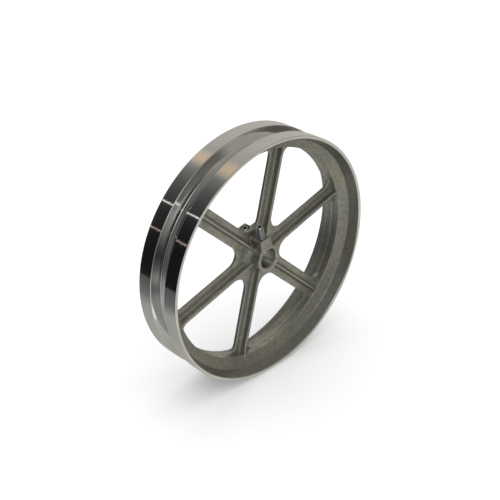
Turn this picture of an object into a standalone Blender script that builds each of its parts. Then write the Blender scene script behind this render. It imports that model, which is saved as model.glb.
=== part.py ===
"""V belt pulley with six ribbed arms, a wide flat-landed rim with one V groove, and two set screws.

The wheel turns about the Y axis and its front faces -Y. The origin is on the axis, midway across the
rim. The wheel is one casting, cut here into three rim rings, six arms and a hub, so that each node is
a simple solid. Angles are measured from +Z towards +X.
"""

import math

import bmesh
import bpy
from mathutils import Matrix

MM = 0.001
GAP = 0.3 * MM  # left between neighbouring cuts of the casting

# Rim
WHEEL_RADIUS = 101.6 * MM
RIM_HALF_WIDTH = 20.5 * MM
GROOVE_HALF_MOUTH = 7.7 * MM  # where the flanks would meet the outer diameter
GROOVE_DEPTH = 8.0 * MM
GROOVE_HALF_ANGLE = math.radians(18)
GROOVE_EDGE_BREAK = 0.6 * MM
LIP_THICKNESS = 2.3 * MM  # at the machined faces
LIP_ROOT_RADIUS = 96.5 * MM  # where the lip meets the bulge under the groove
LIP_ROOT_Y = 11.1 * MM
BULGE_RADIUS = 88.4 * MM
BULGE_HALF_WIDTH = 6.5 * MM
PARTING_RADIUS = 88.2 * MM  # the bulge's crest on the mid plane

# Arms
ARM_COUNT = 6
ARM_1_ANGLE = math.radians(13.5)  # how far the stored wheel is turned
WEB_HALF_WIDTH = 7.55 * MM
WEB_HALF_THICKNESS = 1.4 * MM
RIB_HALF_DEPTH = 6.6 * MM
RIB_HALF_CREST = 0.8 * MM
RIB_HALF_ROOT = 1.9 * MM
ARM_START = 30.5 * MM
RIM_FILLET = 6.0 * MM  # a window's corner radius at the rim
RIM_FILLET_END = math.radians(115)  # stops the fillet before it thins to a feather edge

# Hub
BORE_RADIUS = 7.94 * MM
BORE_CHAMFER = 0.6 * MM
HUB_RADIUS = 11.55 * MM
HUB_FRONT_Y = -13.2 * MM
HUB_REAR_Y = 14.7 * MM
HUB_FOOT_HEIGHT = 4.0 * MM  # the cone that stands for the fillet onto the web
WINDOW_FILLET = 9.65 * MM  # a window's inner end radius

# Set screws and their bosses
SCREW_ANGLE = math.radians(-25)  # from arm_1
BOSS_HALF_WIDTH = 5.4 * MM
BOSS_CORNER = 1.4 * MM
SCREW_RADIUS = 3.175 * MM
SCREW_CHAMFER = 0.5 * MM
SOCKET_ACROSS_FLATS = 3.175 * MM
SOCKET_DEPTH = 3.2 * MM
CUP_RADIUS = 1.7 * MM
CUP_DEPTH = 0.7 * MM
SCREWS = {  # position along the axle, then the radii of its point, its socket end and its boss's top
    "set_screw_front": (-8.4 * MM, 13.8 * MM, 29.7 * MM, 19.0 * MM),
    "set_screw_rear": (9.8 * MM, 10.9 * MM, 20.4 * MM, 20.6 * MM),
}

RIM_SEGMENTS = 96
BORE_SEGMENTS = 72
SCREW_SEGMENTS = 32
ARC_STEPS = 8


def material(name, color, metallic, roughness):
    made = bpy.data.materials.new(name)
    made.use_nodes = True
    shader = made.node_tree.nodes["Principled BSDF"]
    shader.inputs["Base Color"].default_value = (*color, 1.0)
    shader.inputs["Metallic"].default_value = metallic
    shader.inputs["Roughness"].default_value = roughness
    return made


def add_object(name, mesh, finish=None):
    obj = bpy.data.objects.new(name, mesh)
    bpy.context.scene.collection.objects.link(obj)
    if finish is not None:
        mesh.materials.clear()
        mesh.materials.append(finish)
    return obj


def mesh_from(build):
    """A new mesh holding what build(bm) makes, with its faces turned outwards."""
    bm = bmesh.new()
    build(bm)
    bmesh.ops.recalc_face_normals(bm, faces=bm.faces)
    mesh = bpy.data.meshes.new("shape")
    bm.to_mesh(mesh)
    bm.free()
    return mesh


def turned(profile, segments):
    """A solid turned about Y from a closed outline of (radius, y). A radius of 0 is on the axis."""

    def build(bm):
        rings = []
        for radius, y in profile:
            if radius == 0:
                rings.append([bm.verts.new((0, y, 0))] * segments)
                continue
            angles = [2 * math.pi * i / segments for i in range(segments)]
            rings.append([bm.verts.new((radius * math.sin(a), y, radius * math.cos(a))) for a in angles])
        for ring, following in zip(rings, rings[1:] + rings[:1]):
            for i in range(segments):
                j = (i + 1) % segments
                corners = [ring[i], following[i], following[j], ring[j]]
                corners = list(dict.fromkeys(corners))
                if len(corners) > 2:
                    bm.faces.new(corners)

    return mesh_from(build)


def extruded(outline, place, depth):
    """A prism: place(u, v, w) maps the outline's (u, v) at each end of the depth range w to a point."""

    def build(bm):
        ends = [[bm.verts.new(place(u, v, w)) for u, v in outline] for w in depth]
        for end in ends:
            bm.faces.new(end)
        count = len(outline)
        for i in range(count):
            j = (i + 1) % count
            bm.faces.new([ends[0][i], ends[0][j], ends[1][j], ends[1][i]])

    return mesh_from(build)


def flat_plate(outline, half_thickness):
    """A plate across the wheel from an outline of (x, z)."""
    return extruded(outline, lambda x, z, y: (x, y, z), (-half_thickness, half_thickness))


def combined(base, others, operation):
    """The mesh of base after a Boolean with each of the other meshes. The helpers are removed."""
    helpers = [add_object("helper", mesh) for mesh in [base, *others]]
    for other in helpers[1:]:
        cut = helpers[0].modifiers.new("boolean", "BOOLEAN")
        cut.operation = operation
        cut.object = other
    bpy.context.view_layer.update()
    graph = bpy.context.evaluated_depsgraph_get()
    result = bpy.data.meshes.new_from_object(helpers[0].evaluated_get(graph))
    for helper in helpers:
        bpy.data.objects.remove(helper)
    return result


def rotated(mesh, angle):
    """A copy of the mesh turned about Y, from +Z towards +X."""
    copy = mesh.copy()
    copy.transform(Matrix.Rotation(angle, 4, "Y"))
    return copy


def arc(center, radius, start, end, steps=ARC_STEPS):
    angles = [start + (end - start) * i / steps for i in range(steps + 1)]
    return [(center[0] + radius * math.cos(a), center[1] + radius * math.sin(a)) for a in angles]


def flange_profile(side):
    """One rim flange, on the side -1 (front) or +1 (rear)."""
    slope = math.tan(GROOVE_HALF_ANGLE)
    floor_half = GROOVE_HALF_MOUTH - GROOVE_DEPTH * slope
    joint_y = floor_half + GAP / 2
    joint_radius = WHEEL_RADIUS - GROOVE_DEPTH + (joint_y - floor_half) / slope
    break_radius = WHEEL_RADIUS - GROOVE_EDGE_BREAK
    outline = [
        (WHEEL_RADIUS, RIM_HALF_WIDTH),
        (WHEEL_RADIUS, GROOVE_HALF_MOUTH + GROOVE_EDGE_BREAK),
        (break_radius, GROOVE_HALF_MOUTH - GROOVE_EDGE_BREAK * slope),
        (joint_radius, joint_y),
        (BULGE_RADIUS, joint_y),
        (BULGE_RADIUS, BULGE_HALF_WIDTH),
        (LIP_ROOT_RADIUS, LIP_ROOT_Y),
        (WHEEL_RADIUS - LIP_THICKNESS, RIM_HALF_WIDTH),
    ]
    return [(radius, side * y) for radius, y in outline]


def floor_profile():
    """The ring under the groove, between the flanges."""
    half = GROOVE_HALF_MOUTH - GROOVE_DEPTH * math.tan(GROOVE_HALF_ANGLE) - GAP / 2
    top = WHEEL_RADIUS - GROOVE_DEPTH
    return [(top, -half), (top, half), (BULGE_RADIUS, half), (PARTING_RADIUS, 0), (BULGE_RADIUS, -half)]


def arm_mesh():
    """Arm 1, along +Z: a flat web that flares into the rim, crossed by a rib on both faces."""
    end_radius = PARTING_RADIUS - GAP
    center_x = WEB_HALF_WIDTH + RIM_FILLET
    center_z = math.sqrt((PARTING_RADIUS - RIM_FILLET) ** 2 - center_x**2)
    flare = arc((center_x, center_z), RIM_FILLET, math.pi, RIM_FILLET_END)
    foot_half_angle = math.atan2(flare[-1][0], flare[-1][1])
    foot = arc((0, 0), end_radius, math.pi / 2 - foot_half_angle, math.pi / 2 + foot_half_angle)
    start = ARM_START + GAP
    left_flare = [(-x, z) for x, z in reversed(flare)]
    web = flat_plate(
        [(WEB_HALF_WIDTH, start), *flare, *foot, *left_flare, (-WEB_HALF_WIDTH, start)], WEB_HALF_THICKNESS
    )
    return combined(web, [rib_mesh(start, end_radius)], "UNION")


def rib_mesh(start, end):
    """A rib along +Z, thickest on the mid plane, with draft towards both crests."""
    section = [
        (RIB_HALF_CREST, -RIB_HALF_DEPTH),
        (RIB_HALF_ROOT, 0),
        (RIB_HALF_CREST, RIB_HALF_DEPTH),
        (-RIB_HALF_CREST, RIB_HALF_DEPTH),
        (-RIB_HALF_ROOT, 0),
        (-RIB_HALF_CREST, -RIB_HALF_DEPTH),
    ]
    return extruded(section, lambda x, y, z: (x, y, z), (start, end))


def spider_outline():
    """The web at the middle of the wheel: a window's round inner end between each pair of arm stubs."""
    step = 2 * math.pi / ARM_COUNT
    center_distance = (WEB_HALF_WIDTH + WINDOW_FILLET) / math.sin(step / 2)
    half_turn = math.pi / 2 - step / 2
    outline = []
    for i in range(ARM_COUNT):
        across = -i * step  # math angles run from +X towards +Z, so arms count backwards
        arm = math.pi / 2 + across
        for side in (1, -1):
            stub = (ARM_START * math.cos(arm), ARM_START * math.sin(arm))
            offset = (-side * WEB_HALF_WIDTH * math.sin(arm), side * WEB_HALF_WIDTH * math.cos(arm))
            outline.append((stub[0] + offset[0], stub[1] + offset[1]))
        window = arm - step / 2
        center = (center_distance * math.cos(window), center_distance * math.sin(window))
        outline += arc(center, WINDOW_FILLET, window + math.pi - half_turn, window + math.pi + half_turn)
    return outline


def boss_mesh(top, y_range):
    """A set-screw boss along +Z, between the web and one end face of the hub."""
    root = BORE_RADIUS + BORE_CHAMFER
    top_half = BOSS_HALF_WIDTH - BOSS_CORNER
    right = [(BOSS_HALF_WIDTH, root), (BOSS_HALF_WIDTH, top - BOSS_CORNER), (top_half, top)]
    left = [(-x, z) for x, z in reversed(right)]
    return extruded(right + left, lambda x, z, y: (x, y, z), y_range)


def hub_mesh():
    sleeve = [
        (0, HUB_FRONT_Y),
        (HUB_RADIUS, HUB_FRONT_Y),
        (HUB_RADIUS, -WEB_HALF_THICKNESS - HUB_FOOT_HEIGHT),
        (HUB_RADIUS + HUB_FOOT_HEIGHT, -WEB_HALF_THICKNESS / 2),
        (HUB_RADIUS + HUB_FOOT_HEIGHT, WEB_HALF_THICKNESS / 2),
        (HUB_RADIUS, WEB_HALF_THICKNESS + HUB_FOOT_HEIGHT),
        (HUB_RADIUS, HUB_REAR_Y),
        (0, HUB_REAR_Y),
    ]
    rib = rib_mesh(BORE_RADIUS + BORE_CHAMFER, ARM_START)
    ribs = [rotated(rib, 2 * math.pi * i / ARM_COUNT) for i in range(ARM_COUNT)]
    bosses = []
    for y, _, _, boss_top in SCREWS.values():
        face = HUB_FRONT_Y if y < 0 else HUB_REAR_Y
        bosses.append(rotated(boss_mesh(boss_top, sorted((0, face))), SCREW_ANGLE))
    plate = flat_plate(spider_outline(), WEB_HALF_THICKNESS)
    solid = combined(turned(sleeve, BORE_SEGMENTS), [plate, *ribs, *bosses], "UNION")
    mouth = BORE_RADIUS + BORE_CHAMFER + GAP
    bore = [
        (0, HUB_FRONT_Y - GAP),
        (mouth, HUB_FRONT_Y - GAP),
        (BORE_RADIUS, HUB_FRONT_Y + BORE_CHAMFER),
        (BORE_RADIUS, HUB_REAR_Y - BORE_CHAMFER),
        (mouth, HUB_REAR_Y + GAP),
        (0, HUB_REAR_Y + GAP),
    ]
    cutters = [turned(bore, BORE_SEGMENTS)]
    for y, _, _, boss_top in SCREWS.values():
        hole = round_bar(SCREW_RADIUS + GAP, 0, boss_top + GAP)
        hole.transform(Matrix.Translation((0, y, 0)))
        cutters.append(rotated(hole, SCREW_ANGLE))
    return combined(solid, cutters, "DIFFERENCE")


def round_bar(radius, start, end):
    """A plain cylinder along +Z."""
    bar = turned([(0, start), (radius, start), (radius, end), (0, end)], SCREW_SEGMENTS)
    bar.transform(Matrix.Rotation(math.pi / 2, 4, "X"))
    return bar


def screw_mesh(point, top):
    """A cup-point set screw along +Z with a hexagon socket in its outer end."""
    rim = SCREW_RADIUS - SCREW_CHAMFER
    outline = [
        (0, point + CUP_DEPTH),
        (CUP_RADIUS, point),
        (rim, point),
        (SCREW_RADIUS, point + SCREW_CHAMFER),
        (SCREW_RADIUS, top - SCREW_CHAMFER),
        (rim, top),
        (0, top),
    ]
    body = turned(outline, SCREW_SEGMENTS)
    body.transform(Matrix.Rotation(math.pi / 2, 4, "X"))
    corner = SOCKET_ACROSS_FLATS / math.sqrt(3)
    hexagon = [(corner * math.cos(i * math.pi / 3), corner * math.sin(i * math.pi / 3)) for i in range(6)]
    socket = extruded(hexagon, lambda x, y, z: (x, y, z), (top - SOCKET_DEPTH, top + GAP))
    return combined(body, [socket], "DIFFERENCE")


def shade(obj, degrees=30):
    obj.data.shade_smooth()
    obj.data.set_sharp_from_angle(angle=math.radians(degrees))


def main():
    for obj in list(bpy.data.objects):
        bpy.data.objects.remove(obj)
    polished = material("polished_rim", (0.82, 0.82, 0.80), 1.0, 0.2)
    cast = material("cast_aluminium", (0.42, 0.42, 0.38), 0.8, 0.5)
    steel = material("screw_steel", (0.70, 0.70, 0.72), 1.0, 0.25)

    shade(add_object("rim_front_flange", turned(flange_profile(-1), RIM_SEGMENTS), polished))
    shade(add_object("rim_groove_floor", turned(floor_profile(), RIM_SEGMENTS), polished))
    shade(add_object("rim_rear_flange", turned(flange_profile(1), RIM_SEGMENTS), polished))

    arm = arm_mesh()
    for i in range(ARM_COUNT):
        obj = add_object(f"arm_{i + 1}", arm, cast)
        obj.rotation_euler = (0, ARM_1_ANGLE + 2 * math.pi * i / ARM_COUNT, 0)
        shade(obj)

    hub = add_object("hub", hub_mesh(), cast)
    hub.rotation_euler = (0, ARM_1_ANGLE, 0)
    shade(hub)

    for name, (y, point, top, _) in SCREWS.items():
        obj = add_object(name, screw_mesh(point, top), steel)
        obj.location = (0, y, 0)
        obj.rotation_euler = (0, ARM_1_ANGLE + SCREW_ANGLE, 0)
        shade(obj)


main()
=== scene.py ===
"""Visual model of a spoked V belt pulley: turned rim, cast spider, bored hub and two set screws.

It works in metres in the CAD's frame: the origin is the wheel's centre on its axle, +Y runs from the
front (hub) side to the rear and +Z is up. Angles round the axle start at +Z and turn towards +X.
"""

import math
from collections import namedtuple

import bmesh
import bpy
from mathutils import Matrix, Vector


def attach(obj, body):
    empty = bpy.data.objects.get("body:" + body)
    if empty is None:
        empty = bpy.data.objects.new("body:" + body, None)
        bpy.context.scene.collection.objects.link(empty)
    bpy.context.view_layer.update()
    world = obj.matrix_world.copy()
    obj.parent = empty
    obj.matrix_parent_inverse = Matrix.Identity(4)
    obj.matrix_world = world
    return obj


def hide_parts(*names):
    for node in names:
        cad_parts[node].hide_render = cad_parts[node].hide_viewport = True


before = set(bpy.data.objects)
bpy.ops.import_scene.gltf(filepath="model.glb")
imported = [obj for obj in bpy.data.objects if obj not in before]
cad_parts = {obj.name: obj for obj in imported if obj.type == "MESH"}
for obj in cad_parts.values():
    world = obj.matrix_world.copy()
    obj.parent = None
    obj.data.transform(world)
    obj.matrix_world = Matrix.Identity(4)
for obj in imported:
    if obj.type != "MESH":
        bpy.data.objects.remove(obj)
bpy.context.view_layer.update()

MM = 0.001

# Driving dimensions

RIM_HALF = [  # radius, y, rounding in mm: the rear half, from the groove's floor round to the belly
    (93.6, 5.1, 1.0),
    (101.6, 7.7, 0.7),
    (101.6, 20.5, 0.4),
    (99.25, 20.5, 0.9),
    (96.5, 11.1, 1.6),
    (88.4, 6.5, 1.1),
]
RIDGE = [(88.15, 0.45), (87.95, 0.2), (87.95, -0.2), (88.15, -0.45)]  # radius, y in mm: parting ridge
RADIUS = max(radius for radius, _, _ in RIM_HALF) * MM
TURNED_FROM = 99.05 * MM  # inside this radius the rim is as cast, but for the groove
GROOVE_HALF = 7.8 * MM  # a little past the groove's mouth
RIM_SEGMENTS = 288

ARM_COUNT = 6
ARM_STEP = 2 * math.pi / ARM_COUNT
ARM_1_ANGLE = math.radians(13.5)
WEB_HALF_WIDTH = 7.55 * MM
WEB_HALF_THICKNESS = 1.45 * MM
WINDOW_FILLET = 9.65 * MM
RIM_FILLET = 6.5 * MM
ARM_END = 88.2 * MM  # where the flares meet the belly

HUB_RADIUS = 11.55 * MM
HUB_FRONT = -13.2 * MM
HUB_REAR = 14.7 * MM
HUB_SWEEP = 6.0 * MM
BORE_RADIUS = 7.94 * MM
BORE_CHAMFER = 0.7 * MM
SLEEVE_PROUD = 0.15 * MM  # how far the machined end faces stand past the casting
SLEEVE_SEAT = 9.6 * MM  # the casting's own hole, hidden by the machined bore
HUB_SEGMENTS = 96

BOSS_ROOT = 9 * MM
BOSS_DRAFT = 0.4 * MM
BOSS_SHORT = 0.1 * MM  # how far the bosses stop short of the hub's end faces

SCREW_ANGLE = ARM_1_ANGLE + math.radians(-25)
Screw = namedtuple("Screw", "node body y point top")  # point and top are distances from the axle
SCREWS = {
    "screw_front": Screw("set_screw_front", "front_screw", -8.4 * MM, 13.8 * MM, 29.7 * MM),
    "screw_rear": Screw("set_screw_rear", "rear_screw", 9.8 * MM, 10.9 * MM, 20.4 * MM),
}
CAST_HOLE_RADIUS, CAST_HOLE_END = 3.45 * MM, 22 * MM
SLEEVE_HOLE_RADIUS, SLEEVE_HOLE_END = 3.4 * MM, 20 * MM


# Geometry helpers


def link(name, mesh):
    obj = bpy.data.objects.new(name, mesh)
    bpy.context.scene.collection.objects.link(obj)
    return obj


def mesh_from(build):
    bm = bmesh.new()
    build(bm)
    bmesh.ops.recalc_face_normals(bm, faces=bm.faces)
    mesh = bpy.data.meshes.new("shape")
    bm.to_mesh(mesh)
    bm.free()
    return mesh


def rounded(corners, steps=6):
    """A closed outline from (radius, y, rounding) corners."""
    outline = []
    count = len(corners)
    for i, (radius, y, rounding) in enumerate(corners):
        if rounding == 0:
            outline.append((radius, y))
            continue
        here = Vector((radius, y))
        to_last = (Vector(corners[i - 1][:2]) - here).normalized()
        to_next = (Vector(corners[(i + 1) % count][:2]) - here).normalized()
        half = to_last.angle(to_next) / 2
        reach = rounding / math.tan(half)
        center = here + (to_last + to_next).normalized() * (rounding / math.sin(half))
        start = here + to_last * reach - center
        end = here + to_next * reach - center
        turn = start.angle_signed(end)
        for k in range(steps + 1):
            a = -turn * k / steps
            c, s = math.cos(a), math.sin(a)
            outline.append((center.x + start.x * c - start.y * s, center.y + start.x * s + start.y * c))
    return outline


def turned(profile, segments):
    """A solid of revolution round the axle, from a closed (radius, y) outline."""

    def build(bm):
        angles = [2 * math.pi * i / segments for i in range(segments)]
        rings = []
        for radius, y in profile:
            if radius == 0:
                rings.append([bm.verts.new((0, y, 0))] * segments)
            else:
                rings.append([bm.verts.new((radius * math.sin(a), y, radius * math.cos(a))) for a in angles])
        for ring, following in zip(rings, rings[1:] + rings[:1]):
            for i in range(segments):
                j = (i + 1) % segments
                corners = list(dict.fromkeys([ring[i], following[i], following[j], ring[j]]))
                if len(corners) > 2:
                    bm.faces.new(corners)

    return mesh_from(build)


def extruded(outline, y_range):
    """A plate with an (x, z) outline between two heights along the axle."""

    def build(bm):
        ends = [[bm.verts.new((x, y, z)) for x, z in outline] for y in y_range]
        for end in ends:
            bm.faces.new(end)
        count = len(outline)
        for i in range(count):
            j = (i + 1) % count
            bm.faces.new([ends[0][i], ends[0][j], ends[1][j], ends[1][i]])

    return mesh_from(build)


def lofted(sections):
    """A solid through rings of points that all have the same count."""

    def build(bm):
        rings = [[bm.verts.new(point) for point in section] for section in sections]
        bm.faces.new(rings[0])
        bm.faces.new(rings[-1])
        count = len(rings[0])
        for ring, following in zip(rings, rings[1:]):
            for i in range(count):
                j = (i + 1) % count
                bm.faces.new([ring[i], ring[j], following[j], following[i]])

    return mesh_from(build)


def evaluated_copy(obj):
    bpy.context.view_layer.update()
    graph = bpy.context.evaluated_depsgraph_get()
    return bpy.data.meshes.new_from_object(obj.evaluated_get(graph))


def combined(base, others, operation):
    helpers = [link("helper", mesh) for mesh in [base, *others]]
    for other in helpers[1:]:
        boolean = helpers[0].modifiers.new("boolean", "BOOLEAN")
        boolean.operation = operation
        boolean.object = other
    result = evaluated_copy(helpers[0])
    for helper in helpers:
        bpy.data.objects.remove(helper)
    return result


def rotated(mesh, angle):
    """A copy, turned round the axle."""
    copy = mesh.copy()
    copy.transform(Matrix.Rotation(angle, 4, "Y"))
    return copy


def arc(center, radius, start, end, steps=10):
    angles = [start + (end - start) * i / steps for i in range(steps + 1)]
    return [(center[0] + radius * math.cos(a), center[1] + radius * math.sin(a)) for a in angles]


def screw_holes(radius, length, angle):
    """Cutters for the holes of both screws, from the axle outwards."""
    cutters = []
    for screw in SCREWS.values():
        hole = turned([(0, 0), (radius, 0), (radius, length), (0, length)], 48)
        hole.transform(Matrix.Rotation(math.pi / 2, 4, "X"))
        hole.transform(Matrix.Translation((0, screw.y, 0)))
        cutters.append(rotated(hole, angle))
    return cutters


# Rim: turned outside, as cast inside


def rim_mesh():
    rear = [(radius * MM, y * MM, rounding * MM) for radius, y, rounding in RIM_HALF]
    ridge = [(radius * MM, y * MM, 0) for radius, y in RIDGE]
    front = [(radius, -y, rounding) for radius, y, rounding in reversed(rear)]
    mesh = turned(rounded(rear + ridge + front), RIM_SEGMENTS)
    mesh.shade_smooth()
    return mesh


# Spider: web, ribs, hub and bosses in one skin. It is built with arm 1 on +Z, then turned


def star_mesh():
    """The web, arms and all, with round window ends at the hub and flares at the rim."""
    window_distance = (WEB_HALF_WIDTH + WINDOW_FILLET) / math.sin(ARM_STEP / 2)
    half_turn = math.pi / 2 - ARM_STEP / 2
    flare_x = WEB_HALF_WIDTH + RIM_FILLET
    flare_z = math.sqrt((ARM_END - RIM_FILLET) ** 2 - flare_x**2)
    flare = arc((flare_x, flare_z), RIM_FILLET, math.pi, math.atan2(flare_z, flare_x))
    under_skin = 1.02
    side = [*flare, (flare[-1][0] * under_skin, flare[-1][1] * under_skin)]
    arm = side + [(-x, z) for x, z in reversed(side)]
    outline = []
    for i in range(ARM_COUNT):
        c, s = math.cos(i * ARM_STEP), math.sin(i * ARM_STEP)
        outline += [(x * c - z * s, x * s + z * c) for x, z in arm]
        window = math.pi / 2 + (i + 0.5) * ARM_STEP
        center = (window_distance * math.cos(window), window_distance * math.sin(window))
        inward = window + math.pi
        outline += arc(center, WINDOW_FILLET, inward + half_turn, inward - half_turn)
    return extruded(outline, (-WEB_HALF_THICKNESS, WEB_HALF_THICKNESS))


def rib_mesh():
    """One rib, front and rear, with a soft foot on the web and a rise where it meets the rim."""
    stations = ((9.5, 6.6), (79, 6.6), (86, 6.9), (89.5, 7.7), (92.5, 9.0))  # along the arm, crest, mm
    foot = [(1.3, 3.0), (1.7, 2.2), (2.9, 1.3)]  # half width, height in mm
    sections = []
    for z, crest in stations:
        half = [(0.75, crest), (0.95, crest - 0.3), *foot]  # the crest's own corner, then the foot
        right = half + [(x, -y) for x, y in reversed(half)]
        section = right + [(-x, y) for x, y in reversed(right)]
        sections.append([(x * MM, y * MM, z * MM) for x, y in section])
    return lofted(sections)


def hub_mesh():
    """The hub with its sweep down onto the web on both sides."""
    front_end = HUB_FRONT + SLEEVE_PROUD
    rear_end = HUB_REAR - SLEEVE_PROUD
    center = (HUB_RADIUS + HUB_SWEEP, -WEB_HALF_THICKNESS - HUB_SWEEP)
    front = arc(center, HUB_SWEEP, math.pi, math.pi / 2, 8)
    rear = [(radius, -y) for radius, y in reversed(front)]
    ends = [(HUB_RADIUS, rear_end), (0, rear_end), (0, front_end), (HUB_RADIUS, front_end)]
    return turned(front + rear + ends, HUB_SEGMENTS)


def boss_mesh(half, top, corner, y_range):
    """One boss on +Z, a little wider at its root inside the hub."""
    shoulder = arc((half - corner, top - corner), corner, 0, math.pi / 2, 5)
    right = [(half + BOSS_DRAFT, BOSS_ROOT), *shoulder]
    return extruded(right + [(-x, z) for x, z in reversed(right)], y_range)


def gusset_mesh():
    """The shoulder that joins the rear boss to arm 1."""
    outline = [(3.5, 10), (3.5, 20.1), (9.6, 20.3), (6.0, 12)]  # x, z in mm
    rear_end = 9.2 * MM
    return extruded([(x * MM, z * MM) for x, z in outline], (0, rear_end))


def band_mesh():
    """The core of the rim's belly, just under its skin, which the arms grow out of."""
    # radius, y in mm
    inner = [(96.2, 10.6), (88.75, 6.1), (88.4, 0), (88.75, -6.1), (96.2, -10.6)]
    outer = [(97.4, -10.4), (90.6, -4.8), (90.6, 4.8), (97.4, 10.4)]
    return turned([(radius * MM, y * MM) for radius, y in inner + outer], RIM_SEGMENTS)


def one_skin(solid):
    """Remeshes a solid to one skin and eases its corners to the soft fillets of a casting."""
    helper = link("helper", solid)
    skin = helper.modifiers.new("skin", "REMESH")
    skin.mode = "VOXEL"
    skin.voxel_size = 0.42 * MM
    skin.use_smooth_shade = True
    ease = helper.modifiers.new("ease", "SMOOTH")
    ease.factor = 0.5
    ease.iterations = 7
    mesh = evaluated_copy(helper)
    bpy.data.objects.remove(helper)
    return mesh


def spider_mesh():
    rib = rib_mesh()
    ribs = [rotated(rib, i * ARM_STEP) for i in range(ARM_COUNT)]
    turn = SCREW_ANGLE - ARM_1_ANGLE
    front_boss = boss_mesh(
        half=5.5 * MM, top=19.0 * MM, corner=2.0 * MM, y_range=(HUB_FRONT + BOSS_SHORT, 0)
    )
    rear_boss = boss_mesh(
        half=5.2 * MM, top=20.6 * MM, corner=1.6 * MM, y_range=(0, HUB_REAR - BOSS_SHORT)
    )
    bosses = [rotated(mesh, turn) for mesh in (front_boss, rear_boss, gusset_mesh())]
    solid = combined(star_mesh(), [hub_mesh(), *ribs, *bosses, band_mesh()], "UNION")
    past_ends = 0.03
    seat = [(0, -past_ends), (SLEEVE_SEAT, -past_ends), (SLEEVE_SEAT, past_ends), (0, past_ends)]
    cutters = [turned(seat, HUB_SEGMENTS), *screw_holes(CAST_HOLE_RADIUS, CAST_HOLE_END, turn)]
    mesh = one_skin(combined(solid, cutters, "DIFFERENCE"))
    mesh.transform(Matrix.Rotation(ARM_1_ANGLE, 4, "Y"))
    mesh.shade_smooth()
    return mesh


def sleeve_mesh():
    """The machined bore and end faces of the hub."""
    outer = HUB_RADIUS - SLEEVE_PROUD
    inner = BORE_RADIUS + BORE_CHAMFER
    corners = [
        (BORE_RADIUS, HUB_FRONT + BORE_CHAMFER, 0),
        (BORE_RADIUS, HUB_REAR - BORE_CHAMFER, 0),
        (inner, HUB_REAR, 0.15 * MM),
        (outer, HUB_REAR, 0.35 * MM),
        (outer, HUB_FRONT, 0.35 * MM),
        (inner, HUB_FRONT, 0.15 * MM),
    ]
    holes = screw_holes(SLEEVE_HOLE_RADIUS, SLEEVE_HOLE_END, SCREW_ANGLE)
    fine_segments = 144
    mesh = combined(turned(rounded(corners, 4), fine_segments), holes, "DIFFERENCE")
    mesh.shade_smooth()
    mesh.set_sharp_from_angle(angle=math.radians(35))
    return mesh


# Set screws: rolled thread, hexagon socket, cup point

THREAD_RADIUS = 3.175 * MM
THREAD_PITCH = 0.907 * MM
THREAD_DEPTH = 0.45 * MM
THREAD_SLOPE, CREST_SHARE = 3.4, 0.6  # how steep the thread's flanks are and how wide its crest is
END_CHAMFER = 0.75 * MM
END_MARGIN = 0.1 * MM
CUP_RADIUS = 1.9 * MM
CUP_DEPTH = 0.5 * MM
CUP_FLOOR_RADIUS = 0.6 * MM
SOCKET_CORNER = 3.175 / math.sqrt(3) * MM  # 3.175 mm across flats
SOCKET_DEPTH = 3.0 * MM
SOCKET_CHAMFER = 0.15 * MM
DRILL_DEPTH = 0.6 * MM  # of the drilled cone at the socket's end
DRILL_RADIUS = 0.3 * MM
SCREW_SEGMENTS = 48
ROWS_PER_TURN = 10


def thread_radius(z, angle, point, top):
    """The thread's radius, cut back to a chamfer at both ends."""
    phase = (z / THREAD_PITCH - angle / (2 * math.pi)) % 1.0
    groove = min(1.0, max(0.0, THREAD_SLOPE * abs(phase - 0.5) - CREST_SHARE))
    from_end = max(0.0, min(z - point, top - z) - END_MARGIN)
    return min(THREAD_RADIUS - THREAD_DEPTH * groove, THREAD_RADIUS - END_CHAMFER + from_end)


def hexagon_radius(angle):
    flat = math.pi / 6
    return SOCKET_CORNER * math.cos(flat) / math.cos(angle % (2 * flat) - flat)


def screw_mesh(point, top):
    """A screw along +Z, from its cup point to the socket in its top."""
    angles = [2 * math.pi * i / SCREW_SEGMENTS for i in range(SCREW_SEGMENTS)]
    sections = []

    def section(z, radius):
        """radius is a number, or a function of the angle."""
        radii = [radius(a) if callable(radius) else radius for a in angles]
        sections.append([(r * math.cos(a), r * math.sin(a), z) for r, a in zip(radii, angles)])

    section(point + CUP_DEPTH, CUP_FLOOR_RADIUS)
    section(point, CUP_RADIUS)
    section(point, THREAD_RADIUS - END_CHAMFER)
    count = round((top - point) / THREAD_PITCH * ROWS_PER_TURN)
    for k in range(count + 1):
        z = point + END_MARGIN + (top - point - 2 * END_MARGIN) * k / count
        section(z, lambda a: thread_radius(z, a, point, top))
    section(top, THREAD_RADIUS - END_CHAMFER - END_MARGIN)
    section(top, lambda a: hexagon_radius(a) + SOCKET_CHAMFER)
    section(top - SOCKET_CHAMFER, hexagon_radius)
    section(top - SOCKET_DEPTH, hexagon_radius)
    section(top - SOCKET_DEPTH - DRILL_DEPTH, DRILL_RADIUS)
    mesh = lofted(sections)
    mesh.shade_smooth()
    mesh.set_sharp_from_angle(angle=math.radians(40))
    return mesh


# Materials


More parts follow.
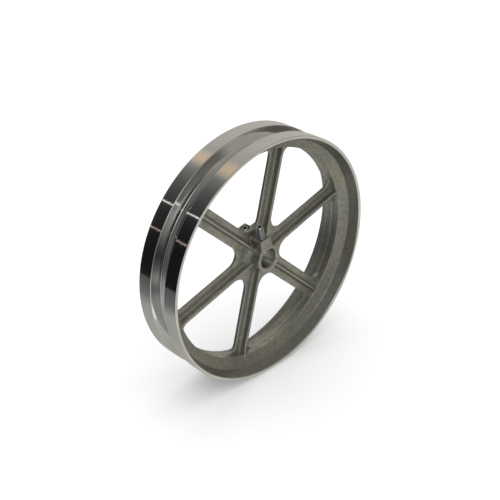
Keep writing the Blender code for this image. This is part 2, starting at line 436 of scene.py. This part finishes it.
class Nodes:
    """Small helpers that add and join the nodes of one material."""

    def __init__(self, tree):
        self.tree = tree

    def node(self, kind, **settings):
        made = self.tree.nodes.new("ShaderNode" + kind)
        for key, value in settings.items():
            setattr(made, key, value)
        return made

    def feed(self, socket, value):
        """Links a socket to another node's output, or sets its value."""
        if isinstance(value, bpy.types.NodeSocket):
            self.tree.links.new(value, socket)
        else:
            socket.default_value = value

    def math(self, operation, a, b=0.0):
        made = self.node("Math", operation=operation)
        self.feed(made.inputs[0], a)
        self.feed(made.inputs[1], b)
        return made.outputs[0]

    def span(self, value, low, high, to_low=0.0, to_high=1.0, curve="LINEAR"):
        """to_low where the value is low, to_high where it is high, and held past both."""
        made = self.node("MapRange", interpolation_type=curve)
        parts = {"Value": value, "From Min": low, "From Max": high, "To Min": to_low, "To Max": to_high}
        for place, part in parts.items():
            self.feed(made.inputs[place], part)
        return made.outputs["Result"]

    def mix(self, factor, a, b):
        """Color a where the factor is 0, color b where it is 1."""
        made = self.node("Mix", data_type="RGBA")
        self.feed(made.inputs["Factor"], factor)
        self.feed(made.inputs["A"], (*a, 1.0) if isinstance(a, tuple) else a)
        self.feed(made.inputs["B"], (*b, 1.0) if isinstance(b, tuple) else b)
        return made.outputs["Result"]

    def separated(self, vector):
        parts = self.node("SeparateXYZ")
        self.feed(parts.inputs[0], vector)
        return tuple(parts.outputs)


class Finish(Nodes):
    """A procedural metal on a Principled shader."""

    def __init__(self, name, metallic):
        self.material = bpy.data.materials.new(name)
        self.material.use_nodes = True
        super().__init__(self.material.node_tree)
        self.shader = self.tree.nodes["Principled BSDF"]
        self.shader.inputs["Metallic"].default_value = metallic
        self.coordinates = self.node("TexCoord").outputs["Object"]

    def noise(self, scale, detail=3.0, rough=0.5, along=None):
        """Noise through the solid or, where along is given, in one dimension."""
        made = self.node("TexNoise", noise_dimensions="3D" if along is None else "1D")
        self.feed(made.inputs["Scale"], scale)
        self.feed(made.inputs["Detail"], detail)
        self.feed(made.inputs["Roughness"], rough)
        if along is None:
            self.feed(made.inputs["Vector"], self.coordinates)
        else:
            self.feed(made.inputs["W"], along)
        return made.outputs["Fac"]

    def along_axle(self):
        _, y, _ = self.separated(self.coordinates)
        return y

    def from_axle(self):
        x, _, z = self.separated(self.coordinates)
        return self.math("SQRT", self.math("ADD", self.math("MULTIPLY", x, x), self.math("MULTIPLY", z, z)))

    def across(self):
        """Distance across the turning lines: along the axle plus out from it."""
        return self.math("ADD", self.along_axle(), self.from_axle())

    def pointiness(self):
        return self.node("NewGeometry").outputs["Pointiness"]

    # Convex edges: the mask for the painted highlight that the finishes put on edges
    def edges(self, low=0.51, high=0.56):
        return self.span(self.pointiness(), low, high)

    def bump(self, layers):
        """layers: (height, strength, distance) from the coarsest to the finest."""
        normal = None
        for height, strength, distance in layers:
            made = self.node("Bump")
            self.feed(made.inputs["Height"], height)
            made.inputs["Strength"].default_value = strength
            made.inputs["Distance"].default_value = distance
            if normal is not None:
                self.feed(made.inputs["Normal"], normal)
            normal = made.outputs["Normal"]
        self.feed(self.shader.inputs["Normal"], normal)

    def surface(self, color, roughness):
        self.feed(self.shader.inputs["Base Color"], color)
        self.feed(self.shader.inputs["Roughness"], roughness)


def turned_finish():
    f = Finish("turned_rim", 1.0)
    bright, dull = (0.80, 0.80, 0.78), (0.72, 0.72, 0.695)
    line, edge = (0.60, 0.60, 0.575), (0.84, 0.84, 0.82)
    across = f.across()
    fine = f.noise(2600.0, 3.0, 0.6, across)
    broad = f.noise(420.0, 2.0, 0.5, across)
    patches = f.noise(38.0, 3.0)
    tone = f.mix(f.span(patches, 0.35, 0.65), bright, dull)
    tone = f.mix(f.span(broad, 0.42, 0.7, 0.0, 0.35), tone, line)
    # Painted highlight: convex edges lighter in colour
    tone = f.mix(f.edges(), tone, edge)
    rough = f.math("ADD", f.span(fine, 0.3, 0.7, 0.04, 0.07), f.span(patches, 0.4, 0.7, 0.0, 0.02))
    f.surface(tone, rough)
    f.bump([(broad, 0.3, 0.00003), (fine, 0.4, 0.00001)])
    return f.material


def cast_finish():
    f = Finish("cast_skin", 0.95)
    warm, cool = (0.48, 0.465, 0.385), (0.36, 0.365, 0.33)
    brown_stain, blue_stain = (0.43, 0.375, 0.33), (0.36, 0.395, 0.385)
    pit, lip_shade, crease_shade = (0.25, 0.25, 0.21), (0.24, 0.245, 0.24), (0.16, 0.16, 0.14)
    speck, ground_and_highlight, edge = (0.66, 0.66, 0.62), (0.9, 0.9, 0.87), (0.66, 0.66, 0.63)
    grain = f.noise(1500.0, 4.0, 0.6)
    skin = f.noise(320.0, 3.0, 0.5)
    specks = f.noise(900.0, 2.0, 0.6)
    patches = f.noise(30.0, 4.0, 0.6)
    stain = f.noise(70.0, 2.0)
    tone = f.mix(f.span(patches, 0.35, 0.65), warm, cool)
    tone = f.mix(f.span(stain, 0.5, 0.68, 0.0, 0.45), tone, brown_stain)
    tone = f.mix(f.span(stain, 0.48, 0.34, 0.0, 0.45), tone, blue_stain)
    tone = f.mix(f.span(skin, 0.45, 0.7, 0.0, 0.5), tone, pit)
    # Painted shade: the inside of the rim's lip darker
    tone = f.mix(f.span(f.from_axle(), 95.8 * MM, 96.8 * MM, 0.0, 0.4), tone, lip_shade)
    # Painted shade: hollows and creases darker, by pointiness
    tone = f.mix(f.span(f.pointiness(), 0.44, 0.49, 0.65, 0.0), tone, crease_shade)
    tone = f.mix(f.span(specks, 0.6, 0.7, 0.0, 0.6), tone, speck)
    # The ground parting ridge on the belly: real ground metal, made near white as a painted highlight
    from_parting = f.math("ABSOLUTE", f.along_axle())
    on_ridge = f.span(from_parting, 0.2 * MM, 0.4 * MM, 0.8, 0.0)
    tone = f.mix(f.math("MULTIPLY", on_ridge, f.span(f.from_axle(), 84 * MM, 86 * MM)), tone, ground_and_highlight)
    # Painted highlight: convex edges lighter in colour
    tone = f.mix(f.edges(), tone, edge)
    rough = f.math("ADD", f.span(skin, 0.3, 0.7, 0.33, 0.48), f.span(grain, 0.3, 0.7, -0.03, 0.05))
    f.surface(tone, rough)
    f.bump([(patches, 0.15, 0.0004), (skin, 0.55, 0.00014), (grain, 0.8, 0.00006)])
    return f.material


def bored_finish():
    f = Finish("bored_hub", 1.0)
    light, dark, edge = (0.37, 0.365, 0.33), (0.29, 0.285, 0.255), (0.74, 0.74, 0.71)
    across = f.across()
    fine = f.noise(2200.0, 3.0, 0.6, across)
    broad = f.noise(700.0, 2.0, 0.5, across)
    patches = f.noise(60.0, 3.0)
    tone = f.mix(f.span(patches, 0.35, 0.65), light, dark)
    # Painted highlight: convex edges lighter in colour
    tone = f.mix(f.edges(), tone, edge)
    f.surface(tone, f.span(fine, 0.3, 0.7, 0.16, 0.26))
    f.bump([(broad, 0.15, 0.00002), (fine, 0.2, 0.000008)])
    return f.material


def steel_finish():
    f = Finish("screw_steel", 1.0)
    light, dark, edge = (0.50, 0.50, 0.50), (0.38, 0.38, 0.39), (0.78, 0.78, 0.78)
    fine = f.noise(2400.0, 3.0, 0.6)
    patches = f.noise(180.0, 3.0)
    tone = f.mix(f.span(patches, 0.35, 0.65), light, dark)
    # Painted highlight: convex edges lighter in colour
    tone = f.mix(f.edges(0.53, 0.62), tone, edge)
    f.surface(tone, f.span(patches, 0.3, 0.7, 0.10, 0.18))
    f.bump([(fine, 0.2, 0.00001)])
    return f.material


# Pieces


def piece(name, mesh, *materials):
    mesh.materials.clear()
    for material in materials:
        mesh.materials.append(material)
    return link(name, mesh)


turned_metal = turned_finish()
cast_metal = cast_finish()
bored_metal = bored_finish()
steel = steel_finish()

rim = piece("rim_turned", rim_mesh(), turned_metal, cast_metal)
for polygon in rim.data.polygons:
    x, y, z = polygon.center
    faces_outward = polygon.normal.x * x + polygon.normal.z * z > -1e-6
    in_groove = faces_outward and abs(y) < GROOVE_HALF
    as_cast = math.hypot(x, z) < TURNED_FROM and not in_groove
    polygon.material_index = 1 if as_cast else 0
rim.modifiers.new("weigh", "WEIGHTED_NORMAL").weight = 100

spider = piece("cast_spider", spider_mesh(), cast_metal)
sleeve = piece("hub_sleeve", sleeve_mesh(), bored_metal)

screws = {}
for name, screw in SCREWS.items():
    mesh = screw_mesh(screw.point, screw.top)
    mesh.transform(Matrix.Translation((0, screw.y, 0)))
    mesh.transform(Matrix.Rotation(SCREW_ANGLE, 4, "Y"))
    screws[name] = piece(name, mesh, steel)

for obj in (rim, spider, sleeve):
    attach(obj, "wheel")
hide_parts("rim_front_flange", "rim_groove_floor", "rim_rear_flange")
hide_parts(*[f"arm_{i + 1}" for i in range(ARM_COUNT)], "hub")
for name, screw in SCREWS.items():
    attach(screws[name], screw.body)
    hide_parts(screw.node)


# Stage: the room that only the metal reflects, a floor and soft light

ROOM_RADIUS = 3.0

# Each ramp is (height or place from -1 to 1, brightness) in order.
BACK_FLOOR = [(-1.0, 0.44), (-0.62, 0.39), (-0.57, 0.3), (-0.52, 0.19), (-0.44, 0.14), (-0.34, 0.11)]
BACK_WALL = [  # from left to right
    (-1.0, 0.018),
    (-0.72, 0.02),
    (-0.6, 0.05),
    (-0.45, 0.12),
    (-0.3, 0.21),
    (-0.14, 0.4),
    (0.02, 0.88),
    (0.2, 0.82),
    (0.5, 1.0),
]
BACK_WALL_STRENGTH = 0.52
STRAIGHT_BACK = [
    (-1.0, 0.6),
    (-0.5, 0.6),
    (-0.43, 0.52),
    (-0.36, 0.36),
    (-0.3, 0.16),
    (-0.17, 0.05),
    (-0.06, 0.08),
    (0.1, 0.26),
    (0.155, 0.33),
    (0.275, 0.42),
    (0.33, 0.27),
    (0.39, 0.17),
    (0.45, 0.2),
    (1.0, 0.2),
]
FRONT = [
    (-1.0, 0.42),
    (-0.75, 0.46),
    (-0.58, 0.62),
    (-0.48, 0.64),
    (-0.33, 0.54),
    (-0.19, 0.24),
    (-0.03, 0.2),
    (0.12, 0.27),
    (0.35, 0.31),
    (0.7, 0.3),
    (1.0, 0.4),
]


def glossy_only(obj):
    obj.visible_camera = False
    obj.visible_diffuse = False
    obj.visible_shadow = False
    obj.visible_transmission = False
    obj.visible_volume_scatter = False


def emitter(name, mesh, color, strength):
    """Links a mesh that glows in reflections only. It returns the nodes and the glow itself."""
    material = bpy.data.materials.new(name)
    material.use_nodes = True
    nodes = Nodes(material.node_tree)
    nodes.tree.nodes.clear()
    glow = nodes.node("Emission")
    nodes.feed(glow.inputs["Color"], (*color, 1.0))
    nodes.feed(glow.inputs["Strength"], strength)
    nodes.feed(nodes.node("OutputMaterial").inputs["Surface"], glow.outputs[0])
    glossy_only(piece(name, mesh, material))
    return nodes, glow


def room():
    """A dome whose brightness follows the direction: floor, walls, a dark back left and two lamps."""
    bm = bmesh.new()
    bmesh.ops.create_icosphere(bm, subdivisions=4, radius=ROOM_RADIUS)
    mesh = bpy.data.meshes.new("room")
    bm.to_mesh(mesh)
    bm.free()
    nodes, glow = emitter("room", mesh, (1, 1, 1), 1.0)

    def step(value, low, high):
        return nodes.span(value, low, high, curve="SMOOTHSTEP")

    def times(a, b):
        return nodes.math("MULTIPLY", a, b)

    def plus(a, b):
        return nodes.math("ADD", a, b)

    def blend(factor, a, b):
        """Number a where the factor is 0, number b where it is 1."""
        made = nodes.node("Mix", data_type="FLOAT")
        nodes.feed(made.inputs[0], factor)
        nodes.feed(made.inputs[2], a)
        nodes.feed(made.inputs[3], b)
        return made.outputs[0]

    def ramp(place, stops):
        made = nodes.node("ValToRGB")
        band = made.color_ramp
        for element, (position, value) in zip(band.elements, (stops[0], stops[-1])):
            element.position = (position + 1) / 2
            element.color = (value, value, value, 1)
        for position, value in stops[1:-1]:
            band.elements.new((position + 1) / 2).color = (value, value, value, 1)
        nodes.feed(made.inputs[0], nodes.span(place, -1.0, 1.0))
        return made.outputs[0]

    direction = nodes.node("VectorMath", operation="NORMALIZE")
    nodes.feed(direction.inputs[0], nodes.node("TexCoord").outputs["Object"])
    x, y, z = nodes.separated(direction.outputs[0])

    def toward(aim, edge):
        """1 in one direction, falling to 0 where the cosine is edge."""
        made = nodes.node("VectorMath", operation="DOT_PRODUCT")
        nodes.feed(made.inputs[0], direction.outputs[0])
        nodes.feed(made.inputs[1], Vector(aim).normalized())
        return step(made.outputs["Value"], edge, 1.0)

    back_wall = times(ramp(x, BACK_WALL), BACK_WALL_STRENGTH)
    back = blend(step(z, -0.34, -0.315), ramp(z, BACK_FLOOR), back_wall)
    back = blend(step(y, 0.68, 0.76), back, ramp(z, STRAIGHT_BACK))  # seen in the groove
    walls = blend(step(y, 0.15, -0.35), back, ramp(z, FRONT))
    shade = toward((0.76, -0.65, 0.0), 0.978)  # what the top end of the groove sees
    walls = blend(times(shade, 0.7), walls, 0.05)
    amber_lamp = toward((0.035, 0.63, 0.775), 0.989)
    front_lamp = toward((-0.6, -0.55, 0.58), 0.9)
    lamps = plus(front_lamp, times(amber_lamp, 0.22))
    nodes.feed(glow.inputs["Strength"], plus(walls, lamps))
    cool, warm, amber = (0.97, 1.0, 0.995), (1.0, 0.965, 0.88), (1.0, 0.6, 0.25)
    tint = nodes.mix(step(x, -0.6, 0.4), cool, warm)
    nodes.feed(glow.inputs["Color"], nodes.mix(times(amber_lamp, 0.5), tint, amber))


def card(name, center, right, up, size, color, strength):
    """A flat light, only seen in the metal. right and up are its own directions."""
    center = Vector(center)
    right = Vector(right).normalized() * size[0] / 2
    up = Vector(up).normalized() * size[1] / 2
    corners = [center + right * i + up * j for i, j in ((-1, -1), (1, -1), (1, 1), (-1, 1))]
    mesh = bpy.data.meshes.new(name)
    mesh.from_pydata(corners, [], [(0, 1, 2, 3)])
    emitter(name, mesh, color, strength)


def strip(name, degrees, width, color, strength):
    """A long thin light that runs behind the wheel along its axle, at an angle round it."""
    distance, middle, length = 1.4, 1.1, 2.0
    x = distance * math.sin(math.radians(degrees))
    z = distance * math.cos(math.radians(degrees))
    card(name, (x, middle, z), (-z, 0, x), (0, 1, 0), (width, length), color, strength)


def floor():
    half, drop = 40, 0.1 * MM
    mesh = bpy.data.meshes.new("floor")
    corners = [(-half, -half, 0), (half, -half, 0), (half, half, 0), (-half, half, 0)]
    mesh.from_pydata(corners, [], [(0, 1, 2, 3)])
    paint = bpy.data.materials.new("floor")
    paint.use_nodes = True
    shader = paint.node_tree.nodes["Principled BSDF"]
    shader.inputs["Base Color"].default_value = (0.9, 0.9, 0.9, 1.0)
    shader.inputs["Roughness"].default_value = 0.8
    obj = piece("floor", mesh, paint)
    obj.location.z = -RADIUS - drop
    obj.visible_glossy = False


def soft_light():
    """A white world that lights the floor and isn't seen in the metal."""
    world = bpy.data.worlds.new("world")
    world.use_nodes = True
    background = world.node_tree.nodes["Background"]
    background.inputs["Color"].default_value = (1.0, 1.0, 1.0, 1.0)
    background.inputs["Strength"].default_value = 1.3
    world.cycles_visibility.glossy = False
    bpy.context.scene.world = world
    bpy.context.scene.view_settings.view_transform = "Standard"


room()
strip("line_high", 312.8, 0.007, (1.0, 0.98, 0.95), 4.0)
strip("line_low", 288.0, 0.006, (1.0, 0.75, 0.72), 2.4)
card(
    "line_groove",
    center=(-0.3, 1.3, 0.39),
    right=(0.64, 0, 0.77),
    up=(0.75, -0.25, -0.61),
    size=(0.014, 0.7),
    color=(0.95, 1.0, 1.0),
    strength=3.0,
)
card(
    "front_fill",
    center=(-0.25, -1.0, -0.72),
    right=(0.97, -0.24, 0),
    up=(0, -0.5, 0.86),
    size=(0.45, 0.35),
    color=(1.0, 1.0, 1.0),
    strength=1.0,
)
floor()
soft_light()


# Camera, at the photo's viewing angle


def photo_camera():
    turn, rise = math.radians(-44.2), math.radians(30.65)  # turn is from straight in front of the hub
    right = Vector((math.cos(turn), math.sin(turn), 0))
    up = Vector((-math.sin(turn) * math.sin(rise), math.cos(turn) * math.sin(rise), math.cos(rise)))
    back = Vector((math.sin(turn) * math.cos(rise), -math.cos(turn) * math.cos(rise), math.sin(rise)))
    camera = link("camera", bpy.data.cameras.new("camera"))
    camera.data.lens = 67.18
    camera.data.sensor_width = 36.0
    camera.matrix_world = Matrix((right, up, back)).transposed().to_4x4()
    radii_back, radii_right, radii_up = 7.2332, -0.0566, 0.0201
    camera.location = (radii_back * back + radii_right * right + radii_up * up) * RADIUS
    bpy.context.scene.camera = camera


photo_camera()
